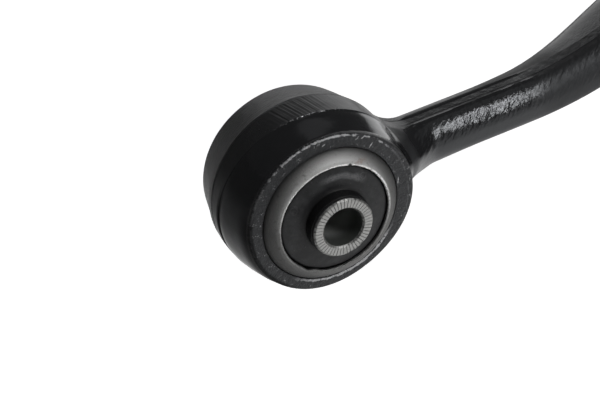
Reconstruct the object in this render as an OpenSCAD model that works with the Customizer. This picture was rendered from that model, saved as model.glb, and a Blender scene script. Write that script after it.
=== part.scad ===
// Control arm: a forged single link with a rubber bush at one end and a ball joint at the other.
// Millimetres. Origin at the middle of the bush bore. The bore runs along Y, the arm leaves
// towards +X and climbs, and the ball stud points up along Z.

/* [Bush] */
// Diameter of the hole for the pivot bolt
bush_bore_d = 14.2; // [12.2:0.1:18.2]
// Outside diameter of the inner sleeve
inner_sleeve_d = 22; // [20:0.5:27]
// Length of the inner sleeve
inner_sleeve_len = 58; // [52:1:70]
// Radial teeth on each end of the inner sleeve
tooth_count = 48; // [24:4:60]
// Depth of the radial teeth
tooth_depth = 0.4; // [0.3:0.1:0.8]
// Outside diameter of the outer sleeve
outer_sleeve_d = 49.6; // [46:0.2:56]
// Wall of the outer sleeve
outer_sleeve_wall = 2; // [1.5:0.1:2.5]
// Radial width of the rolled lip on the outer sleeve
lip_reach = 5; // [4:0.5:6]
// Height of the rolled lip above the face of the eye
lip_rise = 3.7; // [3:0.1:5]

/* [Eye] */
// Width of the eye along the bush axis
eye_width = 39; // [34:1:44]
// Wall of the eye at its two faces
eye_face_wall = 5; // [4:0.1:8]
// Wall of the eye at the flash strip
eye_mid_wall = 8.8; // [7:0.1:13]
// Radius of the rounded rim of the eye
eye_rim = 3; // [1.5:0.1:3.5]

/* [Arm] */
// Width of the trimmed flash strip
flash_w = 6; // [4:0.5:8]
// Height of the arm at the neck
neck_h = 17; // [14:0.5:22]
// Depth of the arm at the neck, along the bush axis
neck_d = 20; // [16:0.5:26]
// Height of the arm past the first bend
beam_h = 19; // [16:0.5:24]
// Depth of the arm past the first bend, along the bush axis
beam_d = 40; // [32:1:46]
// Offset of the ball joint along the bush axis
side_offset = 6; // [0:0.5:8]
// Length of the straight neck, from the bush axis
neck_len = 86; // [74:1:110]
// Slope of the neck
neck_slope = 8.2; // [4:0.2:12]
// Radius of the first bend
first_bend_r = 135; // [110:5:200]
// Slope of the beam between the bends
beam_slope = 26; // [20:1:32]
// Length of the straight beam
beam_len = 104; // [90:2:140]
// Radius of the second bend
second_bend_r = 120; // [100:5:180]
// Slope of the arm at the ball joint
end_slope = 4; // [0:1:8]
// Length of the straight end, to the stud axis
end_len = 60; // [54:1:80]
// Depth of the lightening pocket on the top and bottom of the beam
pocket_depth = 4; // [2:0.5:5]
// Width of the lightening pocket
pocket_w = 20; // [14:1:24]

/* [Ball joint] */
// Ball diameter
ball_d = 27; // [25:0.5:30]
// Neck diameter of the stud
stud_neck_d = 14.4; // [13:0.2:15]
// Diameter of the collar that carries the boot
stud_collar_d = 18.4; // [17.4:0.2:20]
// Large diameter of the 1:10 taper
taper_d = 18; // [16:0.2:18.4]
// Length of the taper
taper_len = 22; // [18:1:28]
// Thread diameter of the stud
thread_d = 14; // [12:1:14]
// Thread pitch
thread_pitch = 1.5; // [1.25:0.25:1.5]
// Length of the thread
thread_len = 23; // [22:1:30]
// Width across flats of the hexagon socket in the end of the stud
socket_af = 6; // [5:1:6]
// Outside diameter of the ball housing
housing_d = 48; // [46:0.5:54]
// Outside diameter of the two ball seats
seat_d = 36; // [34:0.5:38]
// Thickness of the closing cover
cover_t = 2.2; // [1.5:0.1:3]
// Thickness of the disc spring
spring_t = 1.1; // [0.8:0.1:1.4]

/* [Boot] */
// Wall of the boot
boot_wall = 1.6; // [1.2:0.1:2]
// Wire diameter of the lower boot ring
lower_wire_d = 2; // [1.4:0.1:2.2]
// Wire diameter of the upper boot ring
upper_wire_d = 1.8; // [1.2:0.1:2]

/* [Nut] */
// Width across flats of the nut
nut_af = 21; // [19:1:22]
// Height of the nut
nut_h = 15; // [13:0.5:17]
// Flange diameter of the nut
nut_flange_d = 29; // [26:0.5:32]

/* [Fits] */
// Radial gap where a sleeve or seat is pressed or bonded into place
bond_gap = 0.02; // [0.01:0.01:0.05]
// Radial gap between ball and seats
ball_gap = 0.05; // [0.02:0.01:0.08]
// Radial gap between the thread and the nut
thread_gap = 0.05; // [0.02:0.01:0.1]

/* [Hidden] */
$fn = 64;
groove_cut_h = 3;
chamfer = 0.5;
sleeve_chamfer = tooth_depth + 0.25;
half_sleeve = inner_sleeve_len / 2;
half_eye = eye_width / 2;
half_flash = flash_w / 2;
outer_r = outer_sleeve_d / 2;
outer_bore_r = outer_r - outer_sleeve_wall;
inner_r = inner_sleeve_d / 2;
bore_r = bush_bore_d / 2;
lip_r = outer_r - lip_reach;
lip_y = half_eye + lip_rise;
eye_bore_r = outer_r + bond_gap;
eye_face_r = outer_r + eye_face_wall;
eye_mid_r = outer_r + eye_mid_wall;
eye_lead = 1.2;
eye_lift = 0.9;
root_eye_r = eye_mid_r - 0.2;
root_fillet_low = 20;
root_fillet_top = 12;
root_fillet_side = 11;
eye_draft = atan((eye_mid_r - eye_face_r) / (half_eye - half_flash));
root_side_y = neck_d / 2 + root_fillet_side * (1 - sin(eye_draft));
root_side_s = eye_mid_r - (root_side_y - half_flash) * tan(eye_draft) + root_fillet_side * cos(eye_draft);
root_low_s = fillet_start(neck_h / 2 - eye_lift, root_fillet_low);
root_top_s = fillet_start(neck_h / 2 + eye_lift, root_fillet_top);
root_start = root_eye_r * root_low_s / (root_eye_r + root_fillet_low);
section_steps = 10;
root_step = 2.5;
beam_step = 7;
rear_lead = 20;
rear_run = 58;
front_lead = 8;
front_run = 70;
front_square = 50;
pocket_shift = 6;
housing_lap = 6;

// Arc lengths and corner points of the arm centreline
s1 = neck_len;
s2 = s1 + first_bend_r * (beam_slope - neck_slope) * PI / 180;
s3 = s2 + beam_len;
s4 = s3 + second_bend_r * (beam_slope - end_slope) * PI / 180;
s5 = s4 + end_len;
arm_end = s5 - housing_lap;
p1 = [s1 * cos(neck_slope), eye_lift + s1 * sin(neck_slope)];
p2 = first_bend(s2);
p3 = p2 + beam_len * [cos(beam_slope), sin(beam_slope)];
p4 = second_bend(s4);
p5 = p4 + end_len * [cos(end_slope), sin(end_slope)];

// Heights on the stud axis, from the ball centre
ball_r = ball_d / 2;
cup_r = ball_r + ball_gap;
stud_r = stud_neck_d / 2;
seat_r = seat_d / 2;
seat_bore_r = seat_r + bond_gap;
housing_r = housing_d / 2;
joint_rise = 8;
mouth_angle = 62;
mouth_relief = 0.5;
mouth_flare = 2.8;
top_drop = 0.5;
boot_land_step = 3.5;
boot_groove_depth = 1.2;
boot_groove_w = 5.5;
boot_lip_h = 2;
cup_floor = 1.7;
spring_rise = 1;
cover_lap = 1.6;
rolled_t = 1.6;
rolled_lap = 2.4;
stud_neck_len = 8.5;
stud_collar_h = 6.5;
taper_lead = 0.6;
thread_lead = 1.2;
mouth_z = cup_r * cos(mouth_angle);
mouth_r = cup_r * sin(mouth_angle) + mouth_relief;
housing_top = ball_r - top_drop;
rim_r = mouth_r + mouth_flare;
neck_top_r = housing_r - boot_land_step;
boot_groove_r = neck_top_r - boot_groove_depth;
boot_groove_top = housing_top - boot_lip_h;
boot_groove_low = boot_groove_top - boot_groove_w;
seat_bottom = -ball_r - cup_floor;
spring_h = spring_t + spring_rise;
cover_top = seat_bottom - spring_h - bond_gap;
cover_bottom = cover_top - cover_t;
cover_r = seat_r + cover_lap;
housing_bottom = cover_bottom - rolled_t;
rolled_r = cover_r - rolled_lap;
seat_split = 0.3;
grease_hole_r = 4;
collar_low = ball_r + stud_neck_len;
collar_top = collar_low + stud_collar_h;
taper_low = collar_top + taper_lead;
taper_top = taper_low + taper_len;
thread_r = thread_d / 2;
thread_low = taper_top + thread_lead;
thread_top = thread_low + thread_len;
thread_depth = 0.6 * thread_pitch;
socket_depth = 6;
stud_collar_r = stud_collar_d / 2;
taper_r = taper_d / 2;
taper_end_r = taper_r - taper_len / 20;

// Boot, rings and nut
boot_foot_wall = 2.7;
boot_bulge_out = 0.8;
boot_waist_in = 5.6;
boot_crown_in = 4.2;
boot_ring_lift = 3.6;
nut_lift = 3;
lock_wall = 1.9;
boot_seat_r = boot_groove_r + bond_gap;
boot_low_out = boot_seat_r + boot_foot_wall;
boot_bulge_r = housing_r + boot_bulge_out;
boot_waist_r = housing_r - boot_waist_in;
boot_crown_r = housing_r - boot_crown_in;
boot_neck_r = stud_collar_r + bond_gap;
boot_neck_out = boot_neck_r + boot_wall;
lower_ring_r = boot_low_out + lower_wire_d / 2 + bond_gap;
lower_ring_z = (boot_groove_low + boot_groove_top) / 2;
upper_ring_r = boot_neck_out + upper_wire_d / 2 + bond_gap;
upper_ring_z = collar_low + boot_ring_lift;
nut_low = thread_low + nut_lift;
nut_flange_h = 3.2;
nut_collar_h = 3.4;
nut_bore_r = thread_r + thread_gap;
nut_collar_r = nut_af / 2 - 0.6;
lock_out_r = nut_bore_r + lock_wall;
lock_h = 2.2;

function ease(a, b, x) = let (u = min(1, max(0, (x - a) / (b - a)))) u * u * (3 - 2 * u);
function mix(a, b, u) = a + (b - a) * u;

// Centreline of the arm in the plane of the link, as [x, z] at an arc length from the bush axis
function first_bend(s) = let (a = neck_slope + (s - s1) / first_bend_r * 180 / PI)
  p1 + first_bend_r * [sin(a) - sin(neck_slope), cos(neck_slope) - cos(a)];
function second_bend(s) = let (a = beam_slope - (s - s3) / second_bend_r * 180 / PI)
  p3 + second_bend_r * [sin(beam_slope) - sin(a), cos(a) - cos(beam_slope)];
function slope_at(s) = s <= s1 ? neck_slope
  : s <= s2 ? neck_slope + (s - s1) / first_bend_r * 180 / PI
  : s <= s3 ? beam_slope
  : s <= s4 ? beam_slope - (s - s3) / second_bend_r * 180 / PI
  : end_slope;
function centre_at(s) = s <= s1 ? [s * cos(neck_slope), eye_lift + s * sin(neck_slope)]
  : s <= s2 ? first_bend(s)
  : s <= s3 ? p2 + (s - s2) * [cos(beam_slope), sin(beam_slope)]
  : s <= s4 ? second_bend(s)
  : p4 + (s - s4) * [cos(end_slope), sin(end_slope)];

// Half sizes of the arm section at an arc length
function half_h(s) = mix(neck_h, beam_h, ease(s1, s2, s)) / 2;
function fillet_start(h, r) = sqrt(pow(root_eye_r + r, 2) - pow(h + r, 2));
function fillet_rise(x, r) = r - sqrt(r * r - x * x);
function root_h(s, start, r, lift) = s >= start ? half_h(s)
  : s >= start * root_eye_r / (root_eye_r + r) ? half_h(s) + fillet_rise(start - s, r)
  : sqrt(root_eye_r * root_eye_r - s * s) - lift;
function top_h(s) = root_h(s, root_top_s, root_fillet_top, eye_lift);
function low_h(s) = root_h(s, root_low_s, root_fillet_low, -eye_lift);
function root_flare(s) =
  fillet_rise(min(max(0, root_side_s - s), root_fillet_side * cos(eye_draft)), root_fillet_side);
function rear_d(s) = root_flare(s)
  + mix(neck_d / 2, beam_d / 2 + side_offset, ease(s1 - rear_lead, s2 + rear_run, s));
function front_d(s) = root_flare(s)
  + mix(neck_d / 2, beam_d / 2 - side_offset, ease(s2 + front_lead, s2 + front_lead + front_run, s));
function rear_round(s) = mix(1, 0.5, ease(s1 - rear_lead, s2, s));
function front_round(s) = mix(1, 0.5, ease(s2, s2 + front_square, s));

// One section, as [y, height] points: a flat strip above and below, rounded front and rear
function half_section(d, top, low, power, side) = [for (i = [0 : section_steps])
  let (a = -90 + 180 * i / section_steps, h = a < 0 ? low : top)
  [side * (half_flash + (d - half_flash) * pow(max(0, cos(a)), power)),
   sign(a) * h * pow(abs(sin(a)), power)]];
function section(s) = concat(
  half_section(rear_d(s), top_h(s), low_h(s), rear_round(s), 1),
  half_section(front_d(s), top_h(s), low_h(s), front_round(s), -1));
function ring_order(pts) = let (n = section_steps + 1)
  concat([for (i = [0 : n - 1]) pts[i]], [for (i = [0 : n - 1]) pts[2 * n - 1 - i]]);
function placed(s) = let (c = centre_at(s), a = slope_at(s))
  [for (q = ring_order(section(s))) [c[0] - q[1] * sin(a), q[0], c[1] + q[1] * cos(a)]];

// Turns a shape drawn about Z so that its axis lies along Y
module along_y() {
  rotate([-90, 0, 0]) children();
}

// Turned ring from a list of [radius, height] points
module turned(points) {
  rotate_extrude() polygon(points);
}

// The same profile mirrored about the middle, for a bush piece alike at both ends
function both_ends(points) = let (n = len(points))
  concat(points, [for (i = [0 : n - 1]) [points[n - 1 - i][0], -points[n - 1 - i][1]]]);

module at_ball() {
  translate([p5[0], side_offset, p5[1] + joint_rise]) children();
}

module eye_boss() {
  rim_steps = 4;
  along_y() turned(both_ends(concat(
    [[0, half_eye]],
    [for (i = [0 : rim_steps])
      let (a = 90 - (90 - eye_draft) * i / rim_steps)
      [eye_face_r - eye_rim * (1 - cos(a)), half_eye - eye_rim * (1 - sin(a))]],
    [[eye_mid_r, half_flash]])));
}

module arm_body() {
  root_count = ceil((root_low_s - root_start) / root_step);
  beam_count = ceil((arm_end - root_low_s) / beam_step);
  stations = concat(
    [for (i = [0 : root_count - 1]) mix(root_start, root_low_s, i / root_count)],
    [for (i = [0 : beam_count]) mix(root_low_s, arm_end, i / beam_count)]);
  rings = [for (s = stations) placed(s)];
  n = len(rings[0]);
  last = len(rings) - 1;
  points = [for (r = rings) each r];
  sides = [for (k = [0 : last - 1], i = [0 : n - 1])
    let (a = k * n + i, b = k * n + (i + 1) % n)
    each [[a, b + n, b], [a, a + n, b + n]]];
  start_cap = [[for (i = [0 : n - 1]) i]];
  end_cap = [[for (i = [0 : n - 1]) last * n + n - 1 - i]];
  polyhedron(points = points, faces = concat(sides, start_cap, end_cap));
}

module pocket(side) {
  length = beam_len * 0.62;
  middle = (s2 + s3) / 2 + pocket_shift;
  c = centre_at(middle);
  translate([c[0], side_offset, c[1]])
    rotate([0, -beam_slope, 0])
      translate([0, 0, side > 0 ? beam_h / 2 - pocket_depth : -beam_h])
        linear_extrude(beam_h - (beam_h / 2 - pocket_depth)) {
          square([length - pocket_w, pocket_w], center = true);
          translate([pocket_w / 2 - length / 2, 0]) circle(d = pocket_w);
          translate([length / 2 - pocket_w / 2, 0]) circle(d = pocket_w);
        }
}

module ball_housing() {
  turned([
    [0, housing_bottom],
    [housing_r - 2, housing_bottom],
    [housing_r, housing_bottom + 3],
    [housing_r, boot_groove_low - 2.5],
    [neck_top_r + 0.6, boot_groove_low - 0.8],
    [neck_top_r + 0.6, boot_groove_low],
    [boot_groove_r, boot_groove_low],
    [boot_groove_r, boot_groove_top],
    [neck_top_r, boot_groove_top],
    [neck_top_r, housing_top - 0.8],
    [neck_top_r - 0.8, housing_top],
    [0, housing_top]]);
}

module housing_cavity() {
  turned([
    [0, housing_bottom - 1],
    [rolled_r + 1, housing_bottom - 1],
    [rolled_r, cover_bottom - bond_gap],
    [cover_r + bond_gap, cover_bottom - bond_gap],
    [cover_r + bond_gap, cover_top + bond_gap],
    [seat_bore_r, cover_top + bond_gap],
    [seat_bore_r, mouth_z + bond_gap],
    [mouth_r, mouth_z + bond_gap],
    [rim_r, housing_top],
    [rim_r + 0.4, housing_top + 1],
    [0, housing_top + 1]]);
}

module arm_forging() {
  color([0.09, 0.09, 0.1])
    difference() {
      union() {
        eye_boss();
        arm_body();
        at_ball() ball_housing();
      }
      along_y() cylinder(r = eye_bore_r, h = eye_width * 2, center = true);
      for (end = [-1, 1])
        along_y() translate([0, 0, end * half_eye])
          cylinder(r1 = eye_bore_r + eye_lead * (1 - end), r2 = eye_bore_r + eye_lead * (1 + end),
            h = eye_lead * 2, center = true);
      at_ball() housing_cavity();
      pocket(1);
      pocket(-1);
    }
}

module bush_outer_sleeve() {
  color([0.62, 0.62, 0.6])
    along_y() turned(concat(
      both_ends([
        [lip_r, lip_y - 1.1],
        [lip_r, lip_y - 0.3],
        [lip_r + lip_reach * 0.16, lip_y],
        [lip_r + lip_reach * 0.28, lip_y - lip_rise * 0.14],
        [outer_r - lip_reach * 0.12, lip_y - lip_rise * 0.7],
        [outer_r, half_eye]]),
      [[outer_bore_r, -half_eye + 0.5], [outer_bore_r, half_eye - 0.5]]));
}

module bush_rubber() {
  rubber_in = inner_r + bond_gap;
  rubber_out = outer_bore_r - bond_gap;
  ridge_r = lip_r - 2;
  valley_r = inner_r + 3;
  color([0.13, 0.13, 0.13])
    along_y() turned(both_ends([
      [rubber_in, half_sleeve - 4],
      [rubber_in + 1.1, half_sleeve - 4.2],
      [valley_r - 0.8, half_eye + 2.6],
      [valley_r + 0.4, half_eye + 1.6],
      [ridge_r - 1.8, half_eye + 2.6],
      [ridge_r - 0.5, half_eye + 3.6],
      [ridge_r + 0.4, half_eye + 3.6],
      [ridge_r + 1.2, half_eye + 2.7],
      [ridge_r + 1.5, half_eye + 0.8],
      [ridge_r + 2.2, half_eye - 0.8],
      [rubber_out, half_eye - 2]]));
}

module bush_inner_sleeve() {
  pitch_in = 2 * PI * bore_r / tooth_count;
  color([0.66, 0.66, 0.65])
    along_y() difference() {
      turned(both_ends([
        [bore_r, half_sleeve - sleeve_chamfer],
        [bore_r + sleeve_chamfer, half_sleeve],
        [inner_r - sleeve_chamfer, half_sleeve],
        [inner_r, half_sleeve - sleeve_chamfer]]));
      for (end = [0, 1], i = [0 : tooth_count - 1])
        mirror([0, 0, end]) rotate([90, 0, 360 * i / tooth_count])
          translate([0, half_sleeve, -inner_r - 1])
            linear_extrude(inner_r - bore_r + 2)
              polygon([[-pitch_in * 0.42, groove_cut_h], [-pitch_in * 0.42, 0], [0, -tooth_depth],
                [pitch_in * 0.42, 0], [pitch_in * 0.42, groove_cut_h]]);
    }
}

module ball_stud() {
  rings = floor((thread_len - 3) / thread_pitch);
  root_r = thread_r - thread_depth;
  color([0.7, 0.7, 0.69])
    at_ball() difference() {
      union() {
        sphere(r = ball_r);
        cylinder(r = stud_r, h = collar_low);
        turned(concat(
          [[0, ball_r],
           [stud_r, collar_low - (stud_collar_r - stud_r)],
           [stud_collar_r, collar_low],
           [stud_collar_r, collar_top],
           [taper_r, taper_low],
           [taper_end_r, taper_top],
           [root_r, taper_top + 0.6]],
          [for (i = [0 : rings - 1], k = [0, 1])
            [k == 0 ? root_r : thread_r, thread_low + 1 + thread_pitch * (i + k / 2)]],
          [[root_r, thread_low + 1 + thread_pitch * rings],
           [root_r, thread_top],
           [0, thread_top]]));
      }
      translate([0, 0, thread_top - socket_depth])
        cylinder(d = socket_af / cos(30), h = socket_depth + 1, $fn = 6);
      translate([0, 0, -ball_r - 1]) cylinder(r = ball_r * 0.32, h = 1.8);
    }
}

module upper_ball_seat() {
  color([0.86, 0.85, 0.8])
    at_ball() difference() {
      turned([
        [ball_r * 0.5, seat_split],
        [seat_r, seat_split],
        [seat_r, mouth_z],
        [ball_r * 0.5, mouth_z]]);
      sphere(r = cup_r);
    }
}

module lower_ball_seat() {
  color([0.86, 0.85, 0.8])
    at_ball() difference() {
      turned([
        [grease_hole_r, seat_bottom],
        [seat_r - 1, seat_bottom],
        [seat_r, seat_bottom + 1],
        [seat_r, 0],
        [grease_hole_r, 0]]);
      sphere(r = cup_r);
    }
}

module preload_spring() {
  inner = grease_hole_r + 2;
  outer = seat_r - 1.5;
  color([0.45, 0.46, 0.5])
    at_ball() turned([
      [inner, seat_bottom - bond_gap - spring_t],
      [inner, seat_bottom - bond_gap],
      [outer, cover_top + bond_gap + spring_t],
      [outer, cover_top + bond_gap]]);
}

module housing_cover() {
  dish_r = cover_r * 0.5;
  color([0.5, 0.5, 0.48])
    at_ball() turned([
      [0, cover_bottom + 0.9],
      [dish_r - 1.5, cover_bottom + 0.9],
      [dish_r, cover_bottom],
      [cover_r, cover_bottom],
      [cover_r, cover_top],
      [0, cover_top]]);
}

// Height in the boot, as a share of the room between the housing and the collar
function boot_z(u) = mix(housing_top, collar_low, u);

module dust_boot() {
  color([0.1, 0.1, 0.1])
    at_ball() turned([
      [boot_seat_r, boot_groove_low + 0.1],
      [boot_low_out, boot_groove_low + 0.1],
      [boot_low_out, boot_groove_top + 0.4],
      [boot_bulge_r - boot_wall * 0.75, housing_top - boot_lip_h * 0.3],
      [boot_bulge_r, boot_z(0.1)],
      [boot_bulge_r - boot_wall * 0.125, boot_z(0.3)],
      [boot_bulge_r - boot_wall * 1.25, boot_z(0.5)],
      [boot_waist_r + boot_wall * 0.6, boot_z(0.7)],
      [boot_crown_r, boot_z(0.82)],
      [boot_crown_r - boot_wall * 0.375, boot_z(1)],
      [boot_neck_out + boot_wall * 2.125, boot_z(1.15)],
      [boot_neck_out + boot_wall * 0.375, collar_low + boot_wall],
      [boot_neck_out, upper_ring_z - upper_wire_d - 0.2],
      [boot_neck_out, upper_ring_z + upper_wire_d + 0.2],
      [boot_neck_out + upper_wire_d / 2, collar_top - upper_wire_d / 2],
      [boot_neck_out + boot_wall * 0.3125, collar_top - 0.2],
      [boot_neck_r, collar_top - 0.2],
      [boot_neck_r, collar_low + 0.2],
      [boot_neck_out + boot_wall * 1.5, boot_z(1.15) - boot_wall],
      [boot_crown_r - boot_wall * 1.25, boot_z(1) - boot_wall],
      [boot_waist_r - boot_wall * 0.8, boot_z(0.7)],
      [boot_bulge_r - boot_wall * 2, boot_z(0.5) - boot_wall],
      [boot_bulge_r - boot_wall - 0.2, boot_z(0.22)],
      [boot_bulge_r - boot_wall - 0.2, boot_z(0.1)],
      [neck_top_r + 0.5, housing_top - 0.8],
      [neck_top_r + 0.3, boot_groove_top - 0.1],
      [boot_seat_r, boot_groove_top - 0.1]]);
}

module wire_ring(r, wire_d) {
  rotate_extrude() translate([r, 0]) circle(d = wire_d);
}

module boot_lower_ring() {
  color([0.72, 0.72, 0.7])
    at_ball() translate([0, 0, lower_ring_z]) wire_ring(lower_ring_r, lower_wire_d);
}

module boot_upper_ring() {
  color([0.72, 0.72, 0.7])
    at_ball() translate([0, 0, upper_ring_z]) wire_ring(upper_ring_r, upper_wire_d);
}

module stud_nut() {
  hex_top = nut_h - nut_collar_h;
  color([0.6, 0.6, 0.56])
    at_ball() translate([0, 0, nut_low]) difference() {
      union() {
        intersection() {
          cylinder(d = nut_af / cos(30), h = hex_top, $fn = 6);
          turned([
            [0, 0],
            [nut_af, 0],
            [nut_af, hex_top - 4],
            [nut_af / 2 - 0.3, hex_top],
            [0, hex_top]]);
        }
        turned([
          [0, 0],
          [nut_flange_d / 2 - 0.4, 0],
          [nut_flange_d / 2, 0.4],
          [nut_flange_d / 2, 1.4],
          [nut_af / 2 - 0.5, nut_flange_h + 0.6],
          [0, nut_flange_h + 0.6]]);
        turned([
          [0, hex_top - 1],
          [nut_collar_r, hex_top - 1],
          [nut_collar_r, nut_h - 1],
          [nut_collar_r - 1, nut_h],
          [0, nut_h]]);
      }
      translate([0, 0, -1]) cylinder(r = nut_bore_r, h = nut_h + 2);
      translate([0, 0, -chamfer]) cylinder(r1 = nut_bore_r + 2 * chamfer, r2 = nut_bore_r, h = 2 * chamfer);
      translate([0, 0, nut_h - lock_h - 0.8]) cylinder(r = lock_out_r + bond_gap, h = lock_h + 2 * bond_gap);
      translate([0, 0, nut_h - 1]) cylinder(r = lock_out_r - 0.9, h = 2);
    }
}

module nut_lock_ring() {
  color([0.2, 0.35, 0.7])
    at_ball() translate([0, 0, nut_low + nut_h - lock_h - 0.8 + bond_gap]) difference() {
      cylinder(r = lock_out_r, h = lock_h);
      translate([0, 0, -1]) cylinder(r = nut_bore_r, h = lock_h + 2);
    }
}

arm_forging();
bush_outer_sleeve();
bush_rubber();
bush_inner_sleeve();
ball_stud();
upper_ball_seat();
lower_ball_seat();
preload_spring();
housing_cover();
dust_boot();
boot_lower_ring();
boot_upper_ring();
stud_nut();
nut_lock_ring();
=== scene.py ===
# Control arm: a black forged link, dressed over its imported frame. Shapes are drawn in millimetres.
import math

import bmesh
import bpy
from mathutils import Matrix, Vector


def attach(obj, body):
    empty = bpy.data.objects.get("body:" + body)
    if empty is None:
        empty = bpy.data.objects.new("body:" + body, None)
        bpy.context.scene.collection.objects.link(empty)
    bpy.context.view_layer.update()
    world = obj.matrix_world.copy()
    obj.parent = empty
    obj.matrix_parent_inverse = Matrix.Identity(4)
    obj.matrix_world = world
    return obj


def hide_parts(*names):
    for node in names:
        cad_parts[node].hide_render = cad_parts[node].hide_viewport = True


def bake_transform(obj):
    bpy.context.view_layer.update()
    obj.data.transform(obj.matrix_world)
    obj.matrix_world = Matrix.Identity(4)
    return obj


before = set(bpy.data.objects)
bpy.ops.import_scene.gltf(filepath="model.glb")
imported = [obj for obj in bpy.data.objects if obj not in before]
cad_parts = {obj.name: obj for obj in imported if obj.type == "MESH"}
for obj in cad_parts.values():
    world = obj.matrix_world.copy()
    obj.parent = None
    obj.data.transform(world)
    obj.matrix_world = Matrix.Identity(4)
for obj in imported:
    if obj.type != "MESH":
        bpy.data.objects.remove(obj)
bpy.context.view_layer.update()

TURN = 2 * math.pi
MERGE = 1e-4
MM = 0.001
BUSH = Vector((0, 0, 0))
BALL = Vector((322.608, 6.0, 95.077))


# Shader maths: a socket that adds Math nodes as it is used in an expression
class Value:
    def __init__(self, finish, socket):
        self.finish, self.socket = finish, socket

    def math(self, operation, *values):
        return self.finish.node("ShaderNodeMath", {"operation": operation}, dict(enumerate(values)))

    def __add__(self, other):
        return self.math("ADD", self, other)

    def __radd__(self, other):
        return self.math("ADD", other, self)

    def __sub__(self, other):
        return self.math("SUBTRACT", self, other)

    def __rsub__(self, other):
        return self.math("SUBTRACT", other, self)

    def __mul__(self, other):
        return self.math("MULTIPLY", self, other)

    def __rmul__(self, other):
        return self.math("MULTIPLY", other, self)

    def __truediv__(self, other):
        return self.math("DIVIDE", self, other)

    def __pow__(self, other):
        return self.math("POWER", self, other)

    def __abs__(self):
        return self.math("ABSOLUTE", self)

    def least(self, other):
        return self.math("MINIMUM", self, other)

    def most(self, other):
        return self.math("MAXIMUM", self, other)

    def rise(self, low, high):
        """0 below low, 1 above high, smooth between; low over high falls."""
        return self.finish.node("ShaderNodeMapRange", {"interpolation_type": "SMOOTHSTEP"},
                                {"Value": self, "From Min": low, "From Max": high})

    def span(self, start, full, end, gone):
        """1 from full to end, 0 before start and after gone, smooth between."""
        return self.rise(start, full) * self.rise(gone, end)


class Finish:
    """One procedural material. Points are Object coordinates in millimetres."""

    def __init__(self, name):
        self.material = bpy.data.materials.new(name)
        self.material.use_nodes = True
        self.tree = self.material.node_tree
        self.tree.nodes.clear()
        self.output = self.tree.nodes.new("ShaderNodeOutputMaterial")
        place = self.node("ShaderNodeTexCoord", {}, {}, "Object")
        self.point = self.node("ShaderNodeVectorMath", {"operation": "SCALE"}, {0: place, "Scale": 1000.0})
        self.x, self.y, self.z = self.split(self.point)

    def node(self, kind, settings, inputs, out=0):
        made = self.tree.nodes.new(kind)
        for key, value in settings.items():
            setattr(made, key, value)
        for key, value in inputs.items():
            if isinstance(value, Value):
                self.tree.links.new(value.socket, made.inputs[key])
            else:
                made.inputs[key].default_value = value
        return Value(self, made.outputs[out])

    def split(self, vector):
        made = self.node("ShaderNodeSeparateXYZ", {}, {0: vector}).socket.node
        return [Value(self, socket) for socket in made.outputs]

    def join(self, x, y, z):
        return self.node("ShaderNodeCombineXYZ", {}, {0: x, 1: y, 2: z})

    def noise(self, scale, detail=3.0, rough=0.5, at=None, stretch=None):
        """Noise of 0 to 1 at a scale per millimetre, at the point or another vector."""
        at = at or self.point
        if stretch:
            at = self.node("ShaderNodeVectorMath", {"operation": "MULTIPLY"}, {0: at, 1: stretch})
        return self.node("ShaderNodeTexNoise", {},
                         {"Vector": at, "Scale": scale, "Detail": detail, "Roughness": rough})

    def mix(self, share, a, b):
        """Colour a to colour b."""
        return self.node("ShaderNodeMix", {"data_type": "RGBA"},
                         {0: share, 6: self.paint(a), 7: self.paint(b)}, 2)

    def paint(self, colour):
        return colour if isinstance(colour, Value) else (*colour, 1.0)

    def bump(self, height):
        """Normals from a height in millimetres."""
        return self.node("ShaderNodeBump", {}, {"Height": height, "Distance": MM, "Strength": 1.0})

    def surface(self, painted_shade=None, **sockets):
        """The Principled shader, under a share of matt black painted shade. Keyword names use _ for a
        space.
        """
        inputs = {key.replace("_", " "): value for key, value in sockets.items()}
        for key in ("Base Color", "Specular Tint"):
            if key in inputs:
                inputs[key] = self.paint(inputs[key])
        shader = self.node("ShaderNodeBsdfPrincipled", {}, inputs)
        if painted_shade:
            matt = self.node("ShaderNodeBsdfPrincipled", {}, {
                "Base Color": (0.004, 0.004, 0.004, 1.0), "Roughness": 1.0, "Specular IOR Level": 0.0})
            shader = self.node("ShaderNodeMixShader", {}, {0: painted_shade, 1: shader, 2: matt})
        self.tree.links.new(shader.socket, self.output.inputs["Surface"])
        return self.material

    def around(self, centre, axis):
        """Distance from an axis through a centre, angle about it and place along it, in millimetres."""
        x, y, z = self.x - centre[0], self.y - centre[1], self.z - centre[2]
        along, p, q = (y, x, z) if axis == "y" else (z, x, y)
        return (p * p + q * q) ** 0.5, p.math("ARCTAN2", q, p), along


# Modelling helpers: a bmesh in millimetres becomes one object in metres
def keep(bm, name, finish, body, nodes, sharp):
    """The finished piece: merged, smooth up to an angle, on its body and in place of its nodes."""
    bmesh.ops.remove_doubles(bm, verts=bm.verts, dist=MERGE)
    bmesh.ops.recalc_face_normals(bm, faces=bm.faces)
    bmesh.ops.scale(bm, vec=(MM, MM, MM), verts=bm.verts)
    mesh = bpy.data.meshes.new(name)
    bm.to_mesh(mesh)
    bm.free()
    for polygon in mesh.polygons:
        polygon.use_smooth = True
    mesh.set_sharp_from_angle(angle=math.radians(sharp))
    mesh.materials.append(finish)
    piece = bpy.data.objects.new(name, mesh)
    bpy.context.scene.collection.objects.link(piece)
    if body:
        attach(piece, body)
    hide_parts(*nodes)
    return piece


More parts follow.
